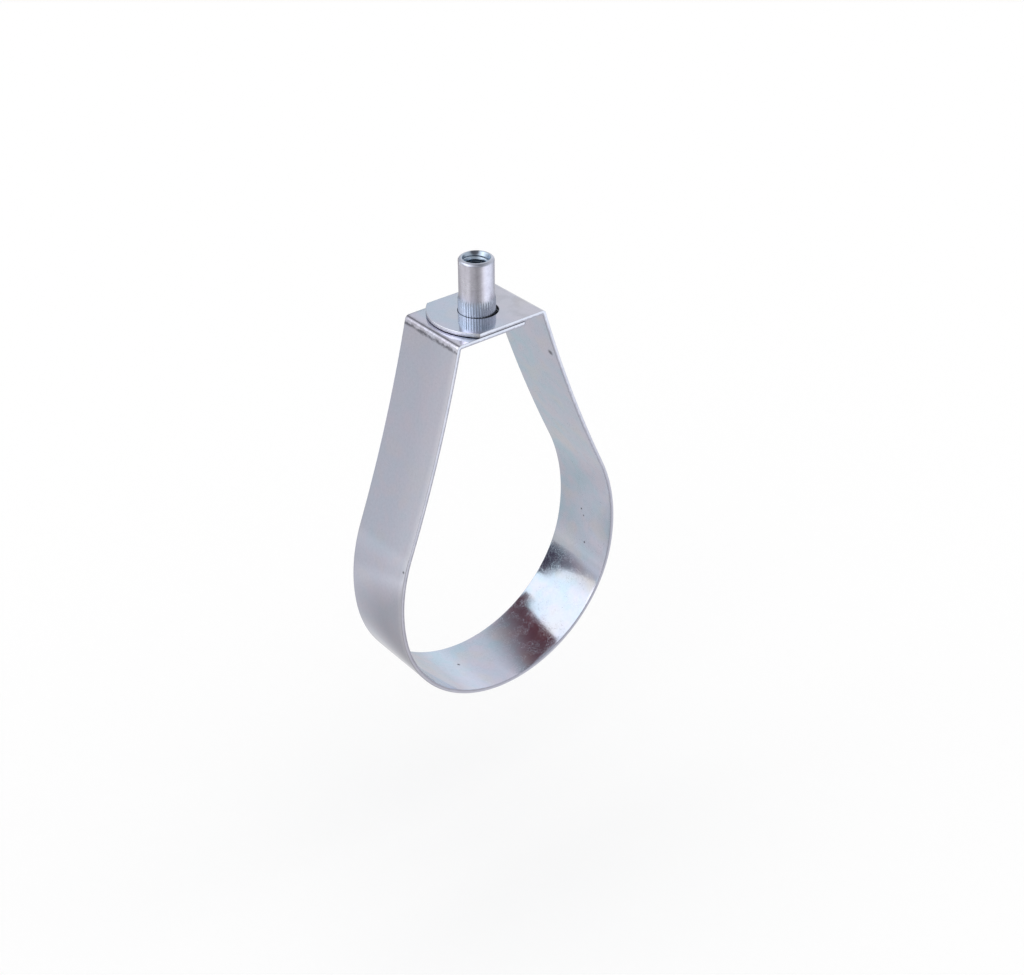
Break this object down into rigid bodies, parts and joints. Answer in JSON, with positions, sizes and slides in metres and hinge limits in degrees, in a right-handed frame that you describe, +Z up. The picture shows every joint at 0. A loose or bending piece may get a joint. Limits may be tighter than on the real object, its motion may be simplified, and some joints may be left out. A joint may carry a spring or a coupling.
{
  "type": "swivel ring hanger",
  "caption": "Pear-shaped steel strip ring that hangs a pipe from a threaded rod, turning on a knurled flanged swivel nut.",
  "frame": {"origin": "centre of the round pipe seat, at the middle of the strip's width", "axes": "+Z up along the rod, +Y along the pipe, +X to the side whose tab lies on top"},
  "size_m": [0.1076, 0.0318, 0.1865],
  "materials": {
    "plated_strip": "bright zinc plated sheet steel, satin",
    "plated_nut": "bright zinc plated, turned and knurled"
  },
  "bodies": {
    "nut": {"swivel_nut": "plated_nut"},
    "ring": {"ring_band": "plated_strip"}
  },
  "joints": [
    {"name": "ring_swivel", "type": "hinge", "parent": "nut", "child": "ring", "pos_m": [-0.0033, 0, 0.11], "axis": [0, 0, 1], "continuous": true}
  ]
}
